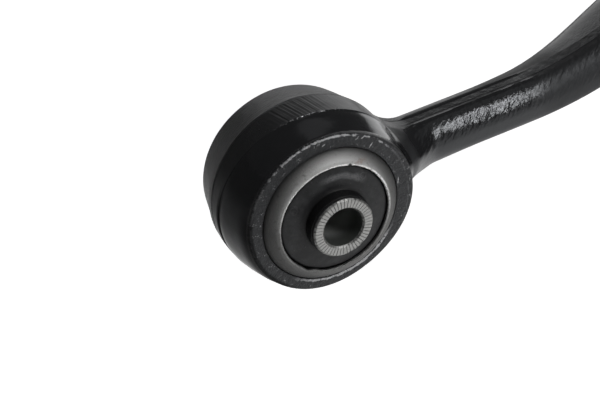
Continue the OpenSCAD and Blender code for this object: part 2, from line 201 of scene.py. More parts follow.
def profile(bm, points, open_at):
    """A closed outline of (radius, height, rounding) in the XZ plane, left as edges, open at one height."""
    corners = [bm.verts.new((p[0], 0, p[1])) for p in points]
    bm.faces.new(corners)
    rounding = {}
    for corner, p in zip(corners, points):
        if len(p) > 2:
            rounding.setdefault(p[2], []).append(corner)
    for size, chosen in rounding.items():
        bmesh.ops.bevel(bm, geom=chosen, offset=size, offset_type="OFFSET", affect="VERTICES",
                        segments=5, profile=0.5, material=-1, clamp_overlap=True)
    bmesh.ops.delete(bm, geom=list(bm.faces), context="FACES_ONLY")
    spare = [e for e in bm.edges if all(abs(v.co.x) < 1e-6 or v.co.z == open_at for v in e.verts)]
    bmesh.ops.delete(bm, geom=spare, context="EDGES")


def turned(points, steps=160, axis="z", centre=(0, 0, 0), open_at=None):
    """A ring or solid of revolution, about Z or Y through the centre."""
    bm = bmesh.new()
    profile(bm, points, open_at)
    bmesh.ops.spin(bm, geom=list(bm.verts) + list(bm.edges), cent=(0, 0, 0), axis=(0, 0, 1),
                   dvec=(0, 0, 0), angle=TURN, steps=steps, use_merge=True)
    bmesh.ops.remove_doubles(bm, verts=bm.verts, dist=MERGE)
    if axis == "y":
        bmesh.ops.rotate(bm, cent=(0, 0, 0), matrix=Matrix.Rotation(-math.pi / 2, 3, "X"), verts=bm.verts)
    bmesh.ops.translate(bm, vec=centre, verts=bm.verts)
    bmesh.ops.recalc_face_normals(bm, faces=bm.faces)
    return bm


def ends(points):
    """The same outline at both ends of the bush, from one end's points listed outwards."""
    return list(points) + [(p[0], -p[1], *p[2:]) for p in reversed(points)]


def lofted(rings):
    """A closed skin through rings of points: a circle, extruded from ring to ring."""
    bm = bmesh.new()
    order = bmesh.ops.create_circle(bm, segments=len(rings[0]), radius=1)["verts"]
    for vert, at in zip(order, rings[0]):
        vert.co = at
    bm.faces.new(reversed(order))
    loop = list(bm.edges)
    for ring in rings[1:]:
        made = bmesh.ops.extrude_edge_only(bm, edges=loop)["geom"]
        loop = [g for g in made if isinstance(g, bmesh.types.BMEdge)]
        fresh = {g for g in made if isinstance(g, bmesh.types.BMVert)}
        order = [next(e.other_vert(v) for e in v.link_edges if e.other_vert(v) in fresh) for v in order]
        for vert, at in zip(order, ring):
            vert.co = at
    bm.faces.new(order)
    bmesh.ops.recalc_face_normals(bm, faces=bm.faces)
    return bm


def blank_of(bm):
    """A loose object for a boolean, in millimetres."""
    mesh = bpy.data.meshes.new("blank")
    bm.to_mesh(mesh)
    bm.free()
    blank = bpy.data.objects.new("blank", mesh)
    bpy.context.scene.collection.objects.link(blank)
    return blank


def combined(first, others):
    """One bmesh from a bmesh and a list of (operation, bmesh), by exact booleans."""
    base = blank_of(first)
    tools = []
    for operation, bm in others:
        tools.append(blank_of(bm))
        step = base.modifiers.new("join", "BOOLEAN")
        step.operation, step.solver, step.object = operation, "EXACT", tools[-1]
    bpy.context.view_layer.update()
    graph = bpy.context.evaluated_depsgraph_get()
    mesh = bpy.data.meshes.new_from_object(base.evaluated_get(graph))
    for blank in [base] + tools:
        bpy.data.objects.remove(blank)
    bm = bmesh.new()
    bm.from_mesh(mesh)
    bpy.data.meshes.remove(mesh)
    return bm


def ease(a, b, x):
    """Smooth step from 0 at a to 1 at b, where a may be the larger."""
    u = min(1.0, max(0.0, (x - a) / (b - a)))
    return u * u * (3 - 2 * u)


def between(a, b, u):
    return a + (b - a) * u


def lobe(angle, middle):
    """1 at the middle angle, falling to 0 a quarter turn away."""
    return max(0.0, math.cos(angle - middle))


# The eye: radii at its band and faces, half its width, its rims, and where band and ledge lie along it
EYE_R, FACE_R, HALF_EYE = 33.55, 29.8, 19.5
REAR_RIM, FRONT_RIM = 2.6, 1.0
BAND_HALF, BAND_REAR, BAND_FRONT, LEDGE = 3, 2.2, -4.9, -5.3
DRAFT = math.atan((EYE_R - FACE_R) / (HALF_EYE - BAND_HALF))

# The arm's middle line: runs s at which it bends, the points there, its slopes and bend radii
LIFT = 0.9
S1, S2, S3, S4, S5 = 86.0, 127.94, 231.94, 278.02, 338.02
P1, P2, P3, P4 = (85.122, 13.166), (125.05, 25.45), (218.52, 71.04), (262.75, 82.89)
NECK, BEAM, LAST = math.radians(8.2), math.radians(26), math.radians(4)
BEND1, BEND2 = 135.0, 120.0

# The arm's section: half heights and depths of neck and beam, the tail at the housing, the flash strip
NECK_HALF, BEAM_HALF = 8.5, 9.5
NECK_SIDE, BEAM_REAR, BEAM_FRONT, TAIL = 10, 26, 14, 3.8
STRIP_HALF, LIP_AT, FLASH = 3, 2.8, 0.3
STRIP_FLAT = (0.3, 1.3, 2.35)
HALF_STEPS = 56

# The arm's root on the eye: fillets, and the runs at which they start
ROOT_R, LOW_FILLET, TOP_FILLET, SIDE_FILLET = 33.4, 23.0, 14.0, 11.0
ROOT_LEAN = 8.6
LOW_S = math.sqrt((ROOT_R + LOW_FILLET) ** 2 - (NECK_HALF - LIFT + LOW_FILLET) ** 2)
TOP_S = math.sqrt((ROOT_R + TOP_FILLET) ** 2 - (NECK_HALF + LIFT + TOP_FILLET) ** 2)
SIDE_S = (EYE_R - (NECK_SIDE + SIDE_FILLET * (1 - math.sin(DRAFT)) - BAND_HALF) * math.tan(DRAFT)
          + SIDE_FILLET * math.cos(DRAFT))
ROOT_S = ROOT_R * LOW_S / (ROOT_R + LOW_FILLET)
CLEAR_S = 46


def centre_line(s):
    """Point (x, z) and slope of the arm's middle line."""
    if s <= S1:
        return s * math.cos(NECK), LIFT + s * math.sin(NECK), NECK
    if s <= S2:
        a = NECK + (s - S1) / BEND1
        return (P1[0] + BEND1 * (math.sin(a) - math.sin(NECK)),
                P1[1] + BEND1 * (math.cos(NECK) - math.cos(a)), a)
    if s <= S3:
        return P2[0] + (s - S2) * math.cos(BEAM), P2[1] + (s - S2) * math.sin(BEAM), BEAM
    if s <= S4:
        a = BEAM - (s - S3) / BEND2
        return (P3[0] + BEND2 * (math.sin(BEAM) - math.sin(a)),
                P3[1] + BEND2 * (math.cos(a) - math.cos(BEAM)), a)
    return P4[0] + (s - S4) * math.cos(LAST), P4[1] + (s - S4) * math.sin(LAST), LAST


def root_height(s, start, fillet, lift):
    """Half height of the arm, with its fillet up to the eye."""
    half = between(NECK_HALF, BEAM_HALF, ease(S1, S2, s))
    if s >= start:
        return half
    if s >= start * ROOT_R / (ROOT_R + fillet):
        return half + fillet - math.sqrt(fillet ** 2 - (start - s) ** 2)
    return math.sqrt(ROOT_R ** 2 - s * s) - lift


def heights(s):
    """How far the arm reaches above and below its middle line; the lower side is thinned after the root."""
    thinned = (2.7 * ease(42, 64, s) + 1.4 * ease(S1 - 10, 150, s)) * ease(260, 190, s)
    sag = 0.8 * ease(CLEAR_S, 40, s) * ease(ROOT_S, 35, s)
    return (root_height(s, TOP_S, TOP_FILLET, LIFT),
            root_height(s, LOW_S, LOW_FILLET, -LIFT) - thinned + sag)


def on_arm(s, y, h):
    """The point at a run along the arm, a depth and a height from its middle line."""
    x, z, a = centre_line(s)
    return x - h * math.sin(a), y, z + h * math.cos(a)


def pocket(sign):
    """Cutter for the lightening pocket of the upper or lower side: drafted walls, rounded foot and edge."""
    middle, run = (S2 + S3) / 2 + 6, (S3 - S2) * 0.31 - 10
    side = 0 if sign > 0 else 1
    steps = 96
    turns = [TURN * (i + 0.5) / steps for i in range(steps)]
    rings = []
    for size, depth in ((7.2, 4.0), (8.1, 3.85), (8.6, 3.4), (9.5, 1.0), (9.8, 0.5), (10.4, 0.12),
                        (11.4, -0.15), (12.2, -0.8)):
        places = [(middle + math.copysign(run, math.cos(a)) + size * math.cos(a), 6 + size * math.sin(a))
                  for a in turns]
        rings.append([on_arm(s, y, sign * (heights(s)[side] - depth)) for s, y in places])
    return lofted(rings)


def flash_lip(s):
    """How much of the flash is left along the front of the strip: worn, broken once, gone further out."""
    gap = 1 - 0.95 * ease(2.4, 1.2, abs(s - 84))
    return ease(92, 89, s) * gap * (0.36 + 0.16 * math.cos((s - 46) * 0.15))


def half_section(top, low, reach, high_power, low_power):
    """One side of a section beside the strip, from top to bottom, as (depth, height): rounded or square."""
    points = []
    for i in range(HALF_STEPS + 1):
        b = math.pi / 2 - math.pi * i / HALF_STEPS
        c, d = abs(math.cos(b)), abs(math.sin(b))
        power = high_power if b > 0 else low_power
        k = (c ** (2 / power) + d ** (2 / power)) ** (-power / 2)
        h = k * d * (top if b > 0 else low)
        points.append((STRIP_HALF + (reach(b) - STRIP_HALF) * k * c, math.copysign(h, b)))
    return points


def arm_ring(s):
    """One section of the arm, from the strip round the rear, under, and up the front."""
    top, low = heights(s)
    side = min(max(0.0, SIDE_S - s), SIDE_FILLET * math.cos(DRAFT))
    flare = SIDE_FILLET - math.sqrt(SIDE_FILLET ** 2 - side ** 2)
    lean = min(1.0, max(0.0, (48 - s) / 18))
    taper = ROOT_LEAN * (lean * lean / 0.4 if lean < 0.2 else lean - 0.1)
    tail = TAIL * ease(S5 - 40, S5 - 7, s)
    rear = between(NECK_SIDE, BEAM_REAR, ease(S1 - 20, S2 + 58, s)) + flare + tail
    front = between(NECK_SIDE, BEAM_FRONT, ease(S2 + 8, S2 + 78, s)) + tail
    rear_power = between(1, 0.5, ease(S1 - 20, S2, s))
    front_power = between(1, 0.5, ease(S2 - 20, S2 + 50, s))
    front_low_power = between(1, 0.5, ease(42, 64, s))
    proud = FLASH * ease(38, 43, s) * (1 - ease(S5 - 34, S5 - 26, s))

    def rear_reach(b):
        return rear

    def front_reach(b):
        return front + between(flare, taper, ease(-0.95, 0.4, math.sin(b)))

    back = half_section(top, low, rear_reach, rear_power, rear_power)
    fore = half_section(top, low, front_reach, front_power, front_low_power)
    sides = []
    for sign, half, raised in ((1, back, proud * ease(95, 75, s)), (-1, fore, proud * flash_lip(s))):
        strip = [(y, top) for y in STRIP_FLAT] + [(LIP_AT, top + raised)]
        under = [(LIP_AT, -low - proud)] + [(y, -low) for y in reversed(STRIP_FLAT)]
        sides.append([(sign * y, h) for y, h in strip + half + under])
    ring = [on_arm(s, y, h) for y, h in sides[0] + sides[1][::-1]]
    if s > CLEAR_S:
        return ring
    sunk = []
    for x, y, z in ring:
        r = math.hypot(x, z)
        inward = 1 - scooped(y, math.atan2(z, x)) * ease(CLEAR_S, 36, r) / r
        sunk.append((x * inward, y, z * inward))
    return sunk


def trim_shift(angle):
    """How far the front edge of the trimmed band wanders along the eye."""
    return 1.6 * lobe(angle, math.radians(190)) - 4.0 * math.cos(angle - math.radians(80))


def scooped(y, angle):
    """How far the eye's front cone is hollowed under the root of the arm."""
    return 0.9 * lobe(angle, -0.95) ** 4 * ease(-8, -15, y)


def swollen(y, angle):
    """How far the eye stands out from its turned shape: bulged by the arm, crowned on the far side."""
    if y < 0:
        bulge = 1.8 * lobe(angle, 0.15) ** 3
    else:
        bulge = 1.8 * lobe(angle, -0.12) ** 3 + 0.5 * lobe(angle, -2.6)
    lift = 0.8 * ease(BAND_FRONT, -9, y) * ease(-18.6, -13, y) + 0.6 * ease(2.6, 6, y) * ease(13, 7, y)
    return bulge * ease(8, 15, abs(y)) - scooped(y, angle) + lift * lobe(angle, -2.6) ** 2


def eye_side(rim, foot):
    """Outline of one side of the eye, as (radius, distance from the middle): rounded rim, then the cone."""
    turns = [math.pi / 2 - i * (math.pi / 2 - DRAFT) / 8 for i in range(9)]
    edge = [(FACE_R - rim * (1 - math.cos(a)), HALF_EYE - rim * (1 - math.sin(a))) for a in turns]
    r, h = edge[-1]
    return edge + [(between(r, EYE_R, u), between(h, foot, u)) for u in (0.25, 0.5, 0.75, 0.9)]


def eye_boss():
    """The eye: a band where the flash was trimmed, a groove behind it, two cones and rounded rims."""
    back, fore = eye_side(REAR_RIM, BAND_REAR), eye_side(FRONT_RIM, 5.0)
    band = [(EYE_R - 0.27, 3.4), (EYE_R - 0.27, 2.95), (EYE_R - 0.14, 2.55), (EYE_R - 0.02, 2.3),
            (EYE_R, 2.0), (EYE_R, 0.0), (EYE_R, -3.0), (EYE_R, BAND_FRONT), (EYE_R - 0.25, LEDGE)]
    outline = [(0, HALF_EYE)] + back + band + [(r, -h) for r, h in reversed(fore)] + [(0, -HALF_EYE)]
    bm = turned(outline, steps=224, axis="y")
    for vert in bm.verts:
        y, r = vert.co.y, math.hypot(vert.co.x, vert.co.z)
        angle = math.atan2(vert.co.z, vert.co.x)
        weight = ease(BAND_REAR, BAND_FRONT, y) if y > LEDGE else ease(-18.5, LEDGE, y)
        vert.co.y = y + trim_shift(angle) * weight * (1 if r > 20 else 0)
        if 2.5 < y < 3.0 and r > 30:
            sunk = 1 - 0.9 * ease(-0.6, 0.4, math.cos(angle - math.radians(205))) / r
            vert.co.x, vert.co.z = vert.co.x * sunk, vert.co.z * sunk
        if r > 26:
            swell = 1 + swollen(y, angle) / r
            vert.co.x, vert.co.z = vert.co.x * swell, vert.co.z * swell
    return bm


def on_crease(p):
    """On the rear edge of the trimmed band, or on the ledge at its front."""
    r, angle = math.hypot(p.x, p.z), math.atan2(p.z, p.x)
    ledge = p.y + 5.05 - trim_shift(angle)
    return 33.3 < r < 33.85 and (1.9 < p.y < 2.9 or abs(ledge) < 0.35)


def arm_blank():
    """The arm from the eye to the ball housing, with its first ring tucked inside the eye."""
    stations = [between(ROOT_S, LOW_S, i / 26) for i in range(26)]
    stations += [between(LOW_S, S5 - 6, i / 190) for i in range(191)]
    rings = [arm_ring(s) for s in stations]
    root, inside = on_arm(ROOT_S, 0, 0), on_arm(ROOT_S - 7, 0, 0)
    tucked = [tuple(b + (p - a) * 0.8 for p, a, b in zip(point, root, inside)) for point in rings[0]]
    return lofted([tucked] + rings)


def forging(finish):
    """Eye, arm and ball housing in one, bored for the bush and the ball, with a pocket on both sides."""
    housing = turned([
        (0, -21.1), (22.0, -21.1, 1.2), (24, -18.1, 1.2), (24, 3.0, 0.8), (21.1, 4.7, 0.5),
        (21.1, 5.5, 0.15), (19.3, 5.5, 0.3), (19.3, 11, 0.3), (20.5, 11, 0.2), (20.5, 12.2, 0.4),
        (19.7, 13, 0.3), (0, 13)],
        steps=144, centre=BALL)
    bore = turned(ends([(0, 21), (25.15 + 1.5, 21), (25.15, 19.5, 0.2), (24.82, 19.1, 0.2)]),
                  steps=224, axis="y")
    cavity = turned([
        (0, -22.1), (18.2, -22.1), (17.2, -19.55, 0.3), (19.62, -19.55), (19.62, -17.28), (18.02, -17.28),
        (18.02, 6.38), (12.46, 6.38, 0.3), (15.26, 13, 0.2), (15.66, 14), (0, 14)], steps=144, centre=BALL)
    bm = combined(eye_boss(), [
        ("UNION", arm_blank()), ("UNION", housing), ("DIFFERENCE", bore), ("DIFFERENCE", cavity),
        ("DIFFERENCE", pocket(1)), ("DIFFERENCE", pocket(-1))])
    piece = keep(bm, "forging", finish, "arm", ["arm_forging"], 38)
    for edge in piece.data.edges:
        if all(on_crease(piece.data.vertices[i].co / MM) for i in edge.vertices):
            edge.use_edge_sharp = True
    return piece


# Finishes
def forging_paint():
    """Black paint on a drop forging: scaled arm, turned rear cone, trimmed band, rough worn faces."""
    f = Finish("forging_paint")
    x, z = f.x, f.z
    r, angle, y = f.around(BUSH, "y")

    # Zones of the eye: the band behind its wandering ledge, the rear cone, the faces and the front rim
    eye = r.rise(43, 36)
    wander = x * 0.0207 + z * 0.117 - (x * -0.047 - z * 0.0083).most(0.0)
    ledge = y + 5.0 + wander + (f.noise(0.7, 3) - 0.5) * 0.5
    rear = y.rise(1.9, 2.6) * eye
    band = ledge.rise(-0.3, 0.3) * y.rise(2.6, 1.9) * eye
    face = abs(y).rise(17.6, 19.2) * eye
    pits = f.noise(1.5, 3, 0.6)
    rim = y.rise(-18.0, -18.5) * abs(r - 29.35 - (pits - 0.5) * 1.2).rise(0.38, 0.2) * eye

    # The arm's upper front, above its middle line: hammer marks and a shallow hollow
    along, across = x * 0.956 + z * 0.292, z * 0.956 - x * 0.292
    girth = (y + across) * 0.75
    marks = f.noise(1.0, 3, 0.5, at=f.join(
        along * 0.20 + girth * 0.16, along * 0.52 - girth * 0.62, (y - across) * 0.2))
    past = (x - 85).most(0.0)
    middle = x * 0.144 + past.least(40.0) ** 2 / 250 + (past - 40).most(0.0) * 0.344 + 0.9
    upper_front = (z - middle).rise(-0.5, 2.5) * y.rise(-2.4, -3.6) * x.rise(150, 120) * (1 - eye)
    hammered = (marks - 0.5) * upper_front
    off = (y + 7.9) * -0.63 - (z - middle - 5.7) * 0.78 + 0.3
    hollow = (1 - (off / 5) ** 2).most(0.0) ** 2 * x.span(39, 56, 80, 100)

    # The strip's rear part and the side behind it fall away a little
    side, land = (y - 3.3 + x.rise(98, 112) * 0.5).most(0.0), (y + 1.0).most(0.0)
    tilt = 0.045 + x.rise(42, 36) * 0.03 + x.rise(75, 92) * 0.04 + x.rise(98, 112) * 0.035
    sloped = (side * 0.05 * x.rise(44, 60) + land * tilt * x.rise(32, 38)) * x.rise(225, 165)

    # Tool marks: the turned rear cone, and the ground top of the band
    scale = f.noise(0.5, 4, 0.6)
    brushed = f.noise(1.0, 3, 0.6, at=f.join(angle * 5.0, y * 2.6, r * 0.05))
    ground = f.noise(1.0, 2, 0.5, at=f.join((y * -0.14 + angle * 20.0) * 1.6, angle * 3.0, 0.0))
    patch = (angle.span(0.9, 1.5, 1.9, 2.7) * 0.2 + angle.span(1.2, 1.65, 1.85, 2.2) * 0.8) * band
    height = (f.noise(0.09, 2) * 0.25 + hammered * 0.42 + (scale - 0.5) * (1 - eye) * 0.08 - sloped
              + f.noise(1.4, 2) * 0.02 - hollow * 0.42 + brushed * rear * 0.3 + ground * patch * 0.25
              + f.noise(0.8, 4, 0.6) * face * 0.7 + pits * face * 0.12)

    # Bare metal: chips along the ledge and the rim, flecks, the scraped edge of the bore, single nicks
    seam = abs(ledge).rise(0.4, 0.1) * eye * angle.span(1.2, 1.5, 1.8, 2.1) * pits.rise(0.5, 0.62)
    chips = f.noise(1.0, 3, 0.6, at=f.join(angle * 14.0, r * 0.5, y * 0.5))
    glint = rim * chips.rise(0.40, 0.52) * (0.12 + angle.span(0.6, 1.0, 1.9, 2.75) * 0.88)
    fleck = face * f.noise(0.45, 3).rise(0.54, 0.7) * pits.rise(0.52, 0.64) * 0.6
    low = angle.span(-2.2, -1.8, -0.7, -0.35)
    scraped = abs(r - 25.75 + (chips - 0.5) * 1.6).rise(0.55, 0.3) * low * face * pits.rise(0.34, 0.46)
    worn = (seam * 0.8).most(glint).most(fleck).most(scraped)
    for at_x, at_z, turn, long, wide in ((9.2, 26.8, 0.7, 1.0, 0.3), (14.4, 22.8, 0.9, 1.3, 0.28),
                                         (11.2, 26.4, 0.5, 0.7, 0.25), (-3.0, 27.2, 0.5, 0.8, 0.25),
                                         (25.2, 6.2, 1.5, 1.6, 0.2)):
        u = (x - at_x) * (math.cos(turn) / long) + (z - at_z) * (math.sin(turn) / long)
        v = (z - at_z) * (math.cos(turn) / wide) - (x - at_x) * (math.sin(turn) / wide)
        nick = (u * u + v * v).rise(1.0, 0.3) * y.rise(-17.5, -18.5)
        worn = worn.most(nick * pits.rise(0.3, 0.5))

    # Dull paint at the root, on the outer arm and behind the strip; painted shade at the lower left of the
    # eye, on its ledge, front cone and rim
    root = r.span(33.7, 34.4, 36, 39) * y.rise(-1.5, -4)
    dull = x.span(80, 96, 150, 190) * y.rise(0, -4) + x.span(60, 72, 95, 106) * y.rise(2.5, 4) * 0.8
    under = ((x * -0.904 + z * -0.427) / r).rise(0.66, 0.95)
    on_ledge = abs(ledge).rise(1.7, 0.7) * 0.85
    on_cone = y.span(-19.4, -19.0, -17.5, -12.5) * 0.75
    on_rim = r.rise(28.0, 29.0) * y.rise(-18.6, -19.2) * 0.7
    painted_shade = under * on_ledge.most(on_cone).most(on_rim) * eye
    black = f.mix(f.noise(0.18, 4), (0.0045, 0.0046, 0.005), (0.011, 0.011, 0.012))
    dust = face * pits.rise(0.35, 0.65) * f.noise(0.6, 3).rise(0.3, 0.6)
    paint = f.mix(dust, black, (0.015, 0.015, 0.0155))
    # Painted reflection: the rear cone is a lighter grey than the paint, lightest towards its left side
    paint = f.mix(rear, paint, f.mix(x.rise(-18, -32), (0.033, 0.033, 0.034), (0.085, 0.085, 0.087)))
    return f.surface(
        Base_Color=f.mix(worn, paint, (0.42, 0.42, 0.43)),
        Roughness=(0.11 + scale * 0.12 + rear * 0.16 + band * 0.06 + patch * 0.12 + face * 0.32
                   + root * 0.32 + dull * 0.36),
        painted_shade=painted_shade, Metallic=worn * 0.8, Specular_Tint=(0.94, 0.965, 1.0), Normal=f.bump(height))


def sleeve_steel():
    """Outer sleeve: dull drawn steel, a little rust; painted shade and light on the lip, a painted
    highlight at its edge.
    """
    f = Finish("sleeve_steel")
    x, z = f.x, f.z
    r, angle, y = f.around(BUSH, "y")
    lines = f.noise(1.0, 3, 0.6, at=f.join(angle * 4.0, r * 3.2, y * 3.2))
    grain = f.noise(1.9, 3, 0.65)
    # Painted shade and light: dark next to the eye, lighter towards the rolled edge
    bright = r.rise(24.9, 20.4)
    edge = r.rise(20.9, 20.3)
    end = y.rise(-19, -20)
    # Painted light: the upper side of the lip is lighter
    painted_lit_top = angle.span(0.2, 1.2, 2.2, 3.3) + angle.span(-2.2, -1.7, -1.3, -0.8) * 0.1
    inside = f.mix(painted_lit_top, (0.13, 0.13, 0.128), (0.43, 0.43, 0.425))
    steel = f.mix(bright * (0.7 + grain * 0.5), (0.085, 0.085, 0.084), inside)
    # Painted shade along the lower side of the rolled edge
    steel = f.mix(edge * angle.span(-2.6, -2.1, -1.4, -0.9) * 0.8, steel, (0.04, 0.04, 0.039))
    # Painted highlight: a near-white line along the rolled edge, strongest on its upper side
    lip = angle.span(-0.6, 0.9, 2.4, 3.3)
    steel = f.mix(edge * grain.rise(0.3, 0.55) * (0.1 + lip * 0.9), steel, (0.94, 0.94, 0.93))
    spot = ((x - 9.2) * (x - 9.2) * 0.10 + (z - 19.6) * (z - 19.6) * 0.9).rise(1.0, 0.2) * end
    rust = spot * grain.rise(0.42, 0.56)
    nick = ((x - 4.9) * (x - 4.9) + (z - 19.4) * (z - 19.4)).rise(0.8, 0.3) * end
    stain = f.noise(0.5, 4, 0.6).rise(0.58, 0.72) * 0.5
    steel = f.mix(stain, steel, (0.06, 0.058, 0.055))
    steel = f.mix(rust * 0.45, steel, (0.16, 0.075, 0.05))
    return f.surface(
        Base_Color=f.mix(nick, steel, (0.01, 0.01, 0.01)),
        Roughness=0.42 + grain * 0.16 + rust * 0.2 - edge * 0.1,
        Metallic=0.8 - rust * 0.6 - nick * 0.8,
        Normal=f.bump(lines * 0.02 + grain * 0.16 + edge * f.noise(0.8, 3) * 0.16))


def inner_steel():
    """Inner sleeve: machined ends, pressed teeth in painted shade, a bore with painted light, rubber smears
    at the edge.
    """
    f = Finish("inner_steel")
    r, angle, y = f.around(BUSH, "y")
    end = abs(y).rise(28.0, 28.4)
    hole = r.rise(7.25, 7.12) * abs(y).rise(28.6, 28.0)
    grain = f.noise(2.2, 3, 0.65)
    turned_lines = f.noise(1.0, 2, at=f.join(angle * 2.0, r * 5.0, y * 4.0))
    groove = abs(y).rise(29.0, 28.72) * end
    smear = (r + f.noise(0.7, 3) * 3.0).rise(11.6, 12.4) * angle.span(-1.5, -1.3, -0.85, -0.6) * end
    coated = smear.most(r.rise(10.86, 10.95) * abs(y).rise(28.7, 28.5))
    metal = f.mix(grain * 0.6 + turned_lines * 0.4, (0.25, 0.25, 0.245), (0.40, 0.40, 0.39))
    # Painted shade in the pressed teeth: dark grooves that vary round the end and are fainter at the lower
    # left
    shaded_teeth = f.noise(1.0, 2, at=f.join(angle * 6.0, r * 0.4, 0.0)).rise(0.36, 0.62)
    faint = angle.span(-3.0, -2.5, -1.8, -1.3)
    metal = f.mix(groove * shaded_teeth * (0.7 - faint * 0.5), metal, (0.05, 0.05, 0.05))
    metal = f.mix(coated, metal, (0.012, 0.012, 0.0125))
    # Painted light in the bore: lighter deep inside than near its ends
    bore_painted_light = f.mix(abs(y).rise(17, 25), (0.32, 0.33, 0.32), (0.075, 0.08, 0.075))
    return f.surface(
        Base_Color=f.mix(hole, metal, bore_painted_light),
        Roughness=0.42 + grain * 0.16 + smear * 0.1,
        Metallic=0.95 - coated * 0.95 - hole * 0.5 * (1 - coated),
        Normal=f.bump(turned_lines * 0.015 + grain * 0.02 + smear * 0.1))


def bush_rubber_finish():
    """Moulded rubber: charcoal, dusty on the ridge, two round mould marks, flecks, painted shade and a
    painted highlight arc.
    """
    f = Finish("bush_rubber")
    x, z = f.x, f.z
    r, angle, y = f.around(BUSH, "y")
    end = y.rise(-18, -20)
    fine = f.noise(2.6, 3, 0.6)
    cloud = f.noise(0.22, 4, 0.6)
    fleck = f.noise(1.1, 3, 0.7).rise(0.66, 0.72)

    def mould_mark(at_x, at_z, size):
        away = ((x - at_x) * (x - at_x) + (z - at_z) * (z - at_z)) ** 0.5
        return abs(away - size).rise(0.5, 0.15) * end

    marks = mould_mark(10.0, 14.2, 1.1).most(mould_mark(-15.2, 7.4, 1.3))
    dust = r.span(12.4, 14.5, 17.4, 19.2) * cloud.rise(0.35, 0.75)
    base = f.mix(cloud, (0.006, 0.0063, 0.007), (0.011, 0.0114, 0.0125))
    base = f.mix(dust * 0.5 + marks * 0.3, base, (0.04, 0.041, 0.043))
    # Painted shade: near black in the crevice beside the inner sleeve
    base = f.mix(r.rise(12.4, 11.7), base, (0.004, 0.004, 0.0045))
    # Painted highlight: a lighter arc on the upper shoulder of the rubber, the scuff below being this
    # highlight
    highlight_arc = abs(r - 16.1 - (cloud - 0.5) * 2.0).rise(1.5, 0.2)
    scuff = highlight_arc * angle.span(0.75, 1.1, 1.6, 2.05) * end
    base = f.mix(scuff * fine.rise(0.25, 0.55), base, (0.125, 0.126, 0.13))
    return f.surface(
        Base_Color=f.mix(fleck * 0.35, base, (0.12, 0.12, 0.12)),
        Roughness=0.38 + fine * 0.16, IOR=1.36,
        Normal=f.bump(fine * 0.03 + cloud * 0.25 + marks * 0.16 + fleck * 0.05))


def machined_steel(name, low, high, rough, bare=1.0):
    """Turned steel of the ball stud and other pieces at the ball joint, bare or under paint."""
    f = Finish(name)
    r, angle, along = f.around(BALL, "z")
    lines = f.noise(1.0, 3, 0.6, at=f.join(angle * 1.5, along * 5.0, r * 0.5))
    film = f.noise(0.25, 4, 0.6)
    grain = f.noise(2.0, 3, 0.6)
    metal = f.mix(film * 0.6 + grain * 0.4, low, high)
    stain = f.noise(0.35, 5, 0.65).rise(0.6, 0.75)
    return f.surface(
        Base_Color=f.mix(stain * 0.4, metal, (0.09, 0.075, 0.06)),
        Roughness=rough + lines * 0.12 + film * 0.14,
        Metallic=(0.96 - stain * 0.25) * bare,
        Normal=f.bump(lines * 0.016 + grain * 0.012))


def soft_rubber(name):
    """Boot rubber: satin black, dusty in places, with a faint mould line."""
    f = Finish(name)
    fine = f.noise(2.4, 3, 0.6)
    cloud = f.noise(0.2, 4, 0.6)
    parting = abs(f.y - BALL.y).rise(0.35, 0.1)
    dust = cloud.rise(0.45, 0.75) * 0.6
    base = f.mix(cloud, (0.012, 0.012, 0.0125), (0.02, 0.02, 0.021))
    return f.surface(
        Base_Color=f.mix(dust, base, (0.045, 0.044, 0.042)),
        Roughness=0.46 + fine * 0.16 + dust * 0.1,
        Normal=f.bump(fine * 0.025 + parting * 0.12 + cloud * 0.1))


def moulded_plastic(name, low, high, rough):
    """Plastic seats and the nut's locking ring: soft sheen, flow marks, scuffs."""
    f = Finish(name)
    flow = f.noise(0.3, 4, 0.6, stretch=(1, 1, 0.3))
    fine = f.noise(2.2, 3)
    scuff = f.noise(0.9, 4, 0.7, stretch=(0.3, 1, 1)).rise(0.6, 0.72)
    return f.surface(
        Base_Color=f.mix(flow, low, high),
        Roughness=rough + fine * 0.14 + scuff * 0.12,
        Normal=f.bump(fine * 0.02 + scuff * 0.02))


# Pieces of the bush
def outer_sleeve(finish):
    """Pressed-in tube with both ends rolled inwards; the front edge is uneven and torn at one place."""
    lip = [(20.7, 21.3, 0.3), (19.8, 21.7, 0.4), (19.8, 23.0, 0.6), (21.2, 22.9, 0.8), (22.9, 21.6, 1.2),
           (24.4, 20.2, 0.8), (24.8, 19.3, 0.3)]
    bm = turned(ends(lip) + [(22.8, -19.0, 0.8), (22.8, 19.0, 0.8)], 240, "y")
    for vert in bm.verts:
        r, a = math.hypot(vert.co.x, vert.co.z), math.atan2(vert.co.z, vert.co.x)
        uneven = 0.03 * math.sin(7 * a + 1) + 0.03 * math.sin(17 * a) + 0.03 * math.sin(41 * a + 2)
        torn = 0.4 * ease(0.10, 0.0, abs(a + 2.1)) - 0.3 * ease(0.12, 0.0, abs(a + 1.92))
        size = 1 + (uneven + torn * ease(0.0, -1.0, vert.co.y)) * ease(21.4, 20.2, r) / r
        vert.co.x, vert.co.z = vert.co.x * size, vert.co.z * size
    return keep(bm, "outer_sleeve", finish, "arm", ["bush_outer_sleeve"], 50)


def rubber_body(finish):
    """The bush's rubber, with a sleeve of it up the inner tube and a ridge under the rolled edge."""
    face = [(11.02, 27.6, 0.1), (11.35, 27.5, 0.2), (11.42, 23.6, 0.05), (12.2, 23.2, 0.5),
            (13.4, 23.1, 0.6), (15.4, 22.9, 1.2), (17.4, 22.5, 1.2), (19.1, 22.2, 0.3), (19.6, 21.7, 0.2),
            (20.4, 20.6, 0.3), (22.78, 18.4, 0.3)]
    bm = turned(ends(face), 160, "y")
    return keep(bm, "rubber_body", finish, "arm", ["bush_rubber"], 60)


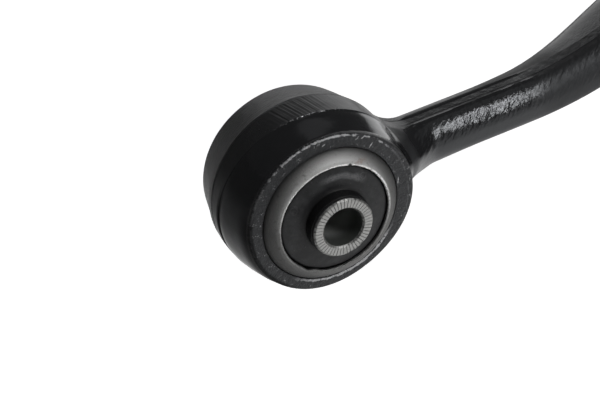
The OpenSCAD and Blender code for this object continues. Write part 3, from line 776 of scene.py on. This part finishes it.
def inner_sleeve(finish):
    """Turned tube; on both ends every tenth spoke of vertices is pressed in to make the teeth."""
    spokes, each, depth = 480, 10, 0.24
    wall = [(7.1, 28.35, 0.12), (7.75, 29.0, 0.15), (9.0, 29.0), (10.35, 29.0, 0.15), (11.0, 28.35, 0.12)]
    bm = turned(ends(wall), spokes, "y")
    for vert in bm.verts:
        spoke = round(math.atan2(vert.co.z, vert.co.x) / TURN * spokes) % each
        if abs(vert.co.y) > 28.3 and spoke == 0:
            vert.co.y -= math.copysign(min(depth, abs(vert.co.y) - 28.25), vert.co.y)
    return keep(bm, "inner_sleeve", finish, "bush_core", ["bush_inner_sleeve"], 24)


# Pieces of the ball joint, with heights from the ball centre
NUT_FOOT = 55.3


def thread():
    """A rolled thread wound as one ridge that runs out at both ends."""
    turns, steps, pitch = 13, 48, 1.5
    ridge = bmesh.new()
    tooth = [ridge.verts.new((r, 0, z)) for r, z in ((5.8, -0.62), (6.98, -0.1), (6.98, 0.1), (5.8, 0.62))]
    first = ridge.faces.new(tooth)
    bmesh.ops.spin(ridge, geom=[first], cent=(0, 0, 0), axis=(0, 0, 1), dvec=(0, 0, pitch / steps),
                   angle=TURN * turns, steps=turns * steps)
    for vert in ridge.verts:
        away = math.hypot(vert.co.x, vert.co.y)
        run = ease(-0.7, 0.8, vert.co.z) * ease(turns * pitch + 0.7, turns * pitch - 0.8, vert.co.z)
        if away > 6.2:
            vert.co.x, vert.co.y = (c * between(6.0, away, run) / away for c in (vert.co.x, vert.co.y))
    bmesh.ops.translate(ridge, vec=(0, 0, 53.8), verts=ridge.verts)
    bmesh.ops.recalc_face_normals(ridge, faces=ridge.faces)
    return ridge


def hexagon_bar(radius, depth, middle):
    """An upright hexagon of a radius and a depth, at the height of its middle."""
    bar = bmesh.new()
    bmesh.ops.create_cone(bar, cap_ends=True, segments=6, radius1=radius, radius2=radius, depth=depth,
                          matrix=Matrix.Translation((0, 0, middle)))
    return bar


def stud(finish):
    """Ball, neck, collar, taper and thread, with a hexagon socket in the end."""
    ball = 13.5
    turns = [math.radians(6 * i) for i in range(1, 25)]
    blank = turned(
        [(0, -ball)] + [(ball * math.sin(a), -ball * math.cos(a)) for a in turns]
        + [(7.2, 13.0, 1.2), (7.2, 19.6, 1.0), (9.2, 21.9, 0.3), (9.2, 28.5, 0.3), (9.0, 29.1, 0.2),
           (7.9, 51.1, 0.3), (6.1, 52.2, 0.4), (6.1, 74.6, 0.3), (5.4, 75.3, 0.1), (0, 75.3)], steps=96)
    bm = combined(blank, [("UNION", thread()), ("DIFFERENCE", hexagon_bar(3.46, 7.0, 72.8))])
    bmesh.ops.translate(bm, vec=BALL, verts=bm.verts)
    return keep(bm, "stud", finish, "stud", ["ball_stud"], 34)


def nut(finish):
    """Flanged nut, drawn from its foot up: chamfered hexagon and a plain collar for the locking ring."""
    hexagon = hexagon_bar(12.12, 11.6, 5.8)
    upright = [e for e in hexagon.edges if abs(e.verts[0].co.z - e.verts[1].co.z) > 1]
    bmesh.ops.bevel(hexagon, geom=upright, offset=0.35, offset_type="OFFSET", affect="EDGES", segments=3,
                    profile=0.5, material=-1)
    crown = turned([(0, -1), (21, -1), (21, 7.6), (10.3, 11.6, 0.3), (0, 11.6)], steps=96)
    flange = turned([(0, 0), (14.1, 0, 0.15), (14.5, 0.4, 0.2), (14.5, 1.4, 0.4), (10.2, 3.8, 0.8),
                     (0, 3.8)], steps=96)
    collar = turned([(0, 10.6), (9.9, 10.6), (9.9, 14.0, 0.5), (8.9, 15.0, 0.3), (0, 15.0)], steps=96)
    bore = turned([(0, -1), (8.05, -0.5), (7.05, 0.5), (7.05, 12.0), (8.97, 12.0), (8.97, 14.24),
                   (8.05, 14.24), (8.05, 16), (0, 16)], steps=96)
    bm = combined(hexagon, [
        ("INTERSECT", crown), ("UNION", flange), ("UNION", collar), ("DIFFERENCE", bore)])
    bmesh.ops.translate(bm, vec=BALL + Vector((0, 0, NUT_FOOT)), verts=bm.verts)
    return keep(bm, "nut", finish, "stud", ["stud_nut"], 34)


def cover(finish):
    """Pressed disc under the ball, dished inwards."""
    bm = turned([(0, -18.6), (7.8, -18.6, 0.5), (9.8, -19.52, 0.6), (18.8, -19.52, 0.3), (19.6, -19.2, 0.2),
                 (19.6, -17.32, 0.2), (0, -17.32)], steps=96, centre=BALL)
    return keep(bm, "cover", finish, "arm", ["housing_cover"], 40)


def boot(finish):
    """Rubber bellows in two halves that meet at the waist."""
    waist = 19.3
    low = turned([
        (19.32, 5.6, 0.3), (22.02, 5.6, 0.5), (22.02, 7.0, 0.2), (21.6, 8.25, 0.6), (22.02, 9.5, 0.2),
        (22.02, 11.3, 0.6), (23.9, 12.3, 0.9), (24.8, 14.0, 1.0), (24.4, 16.0, 1.2), (22.4, 17.6, 1.2),
        (19.36, waist), (17.12, waist), (21.4, 15.9, 1.2), (23.0, 14.9, 0.6), (23.0, 13.9, 0.5),
        (21.0, 12.3, 0.4), (20.8, 10.9, 0.2), (19.32, 10.9, 0.2)], 144, "z", BALL, waist)
    high = turned([
        (19.36, waist), (19.9, 20.3, 0.6), (19.2, 21.9, 0.9), (14.4, 23.3, 1.4), (11.2, 23.7, 0.6),
        (10.82, 24.3, 0.2), (10.6, 25.6, 0.5), (10.82, 26.9, 0.2), (11.6, 27.3, 0.3), (11.3, 28.3, 0.3),
        (9.22, 28.3, 0.3), (9.22, 23.7, 0.4), (11.0, 22.6, 0.5), (13.2, 21.7, 1.0), (17.6, 20.5, 0.6),
        (17.12, waist)], 144, "z", BALL, waist)
    lower = keep(low, "boot_lower", finish, None, ["dust_boot"], 70)
    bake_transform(lower)
    upper = keep(high, "boot_upper", finish, None, ["dust_boot"], 70)
    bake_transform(upper)


def refinish(node, finish):
    """A solid whose shape is right keeps it and takes a finish."""
    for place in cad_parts[node].material_slots:
        place.material = finish


forging(forging_paint())
outer_sleeve(sleeve_steel())
rubber_body(bush_rubber_finish())
inner_sleeve(inner_steel())
stud(machined_steel("stud_steel", (0.42, 0.42, 0.41), (0.58, 0.58, 0.56), 0.26))
nut(machined_steel("nut_steel", (0.34, 0.34, 0.32), (0.46, 0.46, 0.43), 0.36))
cover(machined_steel("cover_steel", (0.012, 0.012, 0.013), (0.022, 0.022, 0.023), 0.28, 0.0))
boot(soft_rubber("boot_rubber"))
wire = machined_steel("ring_steel", (0.45, 0.45, 0.44), (0.6, 0.6, 0.58), 0.28)
seat = moulded_plastic("seat_plastic", (0.66, 0.64, 0.57), (0.74, 0.72, 0.66), 0.34)
refinish("boot_lower_ring", wire)
refinish("boot_upper_ring", wire)
refinish("upper_ball_seat", seat)
refinish("lower_ball_seat", seat)
refinish("preload_spring", machined_steel("spring_steel", (0.16, 0.17, 0.19), (0.26, 0.27, 0.29), 0.32))
refinish("nut_lock_ring", moulded_plastic("lock_plastic", (0.03, 0.09, 0.30), (0.05, 0.13, 0.38), 0.36))


# Studio, in metres
FLOOR = -0.30
FLOOR_GLOW = 0.78
WORLD_LIGHT = 0.13
CAMERA_AT = Vector((-0.21316, -0.43029, 0.30231))
LOOK, UP = Vector((0.37099, 0.75553, -0.53995)), Vector((0.23793, 0.48470, 0.84170))
LIT_POINT = Vector((0.06, 0, 0.02))


def photograph_camera():
    camera = bpy.data.objects.new("camera", bpy.data.cameras.new("camera"))
    bpy.context.scene.collection.objects.link(camera)
    side = LOOK.cross(UP)
    camera.matrix_world = Matrix((
        (side.x, UP.x, -LOOK.x, CAMERA_AT.x), (side.y, UP.y, -LOOK.y, CAMERA_AT.y),
        (side.z, UP.z, -LOOK.z, CAMERA_AT.z), (0, 0, 0, 1)))
    camera.data.lens, camera.data.sensor_width, camera.data.sensor_fit = 100, 36, "HORIZONTAL"
    camera.data.clip_start, camera.data.clip_end = 0.01, 100
    bpy.context.scene.camera = camera


def lamp(name, azimuth, elevation, distance, size, radiance):
    """A soft box that faces the bush: its direction, its two sides and how bright its face is."""
    data = bpy.data.lights.new(name, "AREA")
    data.shape, data.size, data.size_y = "RECTANGLE", size[0], size[1]
    data.energy = radiance * math.pi * size[0] * size[1]
    box = bpy.data.objects.new(name, data)
    bpy.context.scene.collection.objects.link(box)
    a, e = math.radians(azimuth), math.radians(elevation)
    way = Vector((math.sin(a) * math.cos(e), -math.cos(a) * math.cos(e), math.sin(e)))
    box.location = LIT_POINT + way * distance
    box.rotation_euler = way.to_track_quat("Z", "Y").to_euler()


def even_world():
    world = bpy.data.worlds.new("studio")
    bpy.context.scene.world = world
    world.use_nodes = True
    background = world.node_tree.nodes["Background"]
    background.inputs["Color"].default_value = (1, 1, 1, 1)
    background.inputs["Strength"].default_value = WORLD_LIGHT


def floor_white():
    """A matt floor, white to the camera; reflections see it in a pool of light and behind the arm."""
    f = Finish("floor_white")
    rays = f.node("ShaderNodeLightPath", {}, {}).socket.node.outputs
    away = (f.x * f.x + f.y * f.y) ** 0.5
    behind = (((f.x - 200) * (f.x - 200) + (f.y - 420) * (f.y - 420)) ** 0.5).rise(420, 120)
    pool = ((f.x * 0.8 - f.y * 0.6).rise(-150, 350) * away.rise(1600, 500)).most(
        away.rise(450, 200) * 0.3).most(behind * 0.6)
    seen = (Value(f, rays["Is Camera Ray"]) + Value(f, rays["Is Transmission Ray"])
            + Value(f, rays["Is Glossy Ray"]) * pool)
    matt = f.node("ShaderNodeBsdfDiffuse", {}, {"Color": (0.8, 0.8, 0.8, 1)})
    glow = f.node("ShaderNodeEmission", {}, {"Strength": seen * FLOOR_GLOW})
    both = f.node("ShaderNodeAddShader", {}, {0: matt, 1: glow})
    f.tree.links.new(both.socket, f.output.inputs["Surface"])
    return f.material


def studio_floor(finish):
    """A round floor that curves up into a wall, far from the part."""
    sweep = bmesh.new()
    bmesh.ops.create_circle(sweep, cap_ends=True, segments=64, radius=8)
    edge = list(sweep.edges)
    for reach, height in ((9.5, 0.3), (10.7, 1.2), (11.5, 2.8), (12, 6)):
        made = bmesh.ops.extrude_edge_only(sweep, edges=edge)["geom"]
        edge = [g for g in made if isinstance(g, bmesh.types.BMEdge)]
        for vert in [g for g in made if isinstance(g, bmesh.types.BMVert)]:
            across = math.hypot(vert.co.x, vert.co.y)
            vert.co = (vert.co.x * reach / across, vert.co.y * reach / across, height)
    bmesh.ops.translate(sweep, vec=(0, 0, FLOOR), verts=sweep.verts)
    bmesh.ops.recalc_face_normals(sweep, faces=sweep.faces)
    mesh = bpy.data.meshes.new("floor")
    sweep.to_mesh(mesh)
    sweep.free()
    for polygon in mesh.polygons:
        polygon.use_smooth = True
    mesh.materials.append(finish)
    floor = bpy.data.objects.new("floor", mesh)
    bpy.context.scene.collection.objects.link(floor)


photograph_camera()
lamp("key_box", 27, 42, 1.2, (0.26, 0.60), 14.0)
lamp("front_card", 30, 0, 1.3, (0.7, 0.6), 1.0)
lamp("right_box", 125, 2, 1.5, (0.6, 0.66), 1.6)
lamp("back_card", 157, 12, 1.7, (1.2, 1.15), 0.75)
lamp("top_card", 60, 80, 1.5, (1.2, 1.0), 0.3)
even_world()
studio_floor(floor_white())
bpy.context.scene.view_settings.view_transform = "Standard"
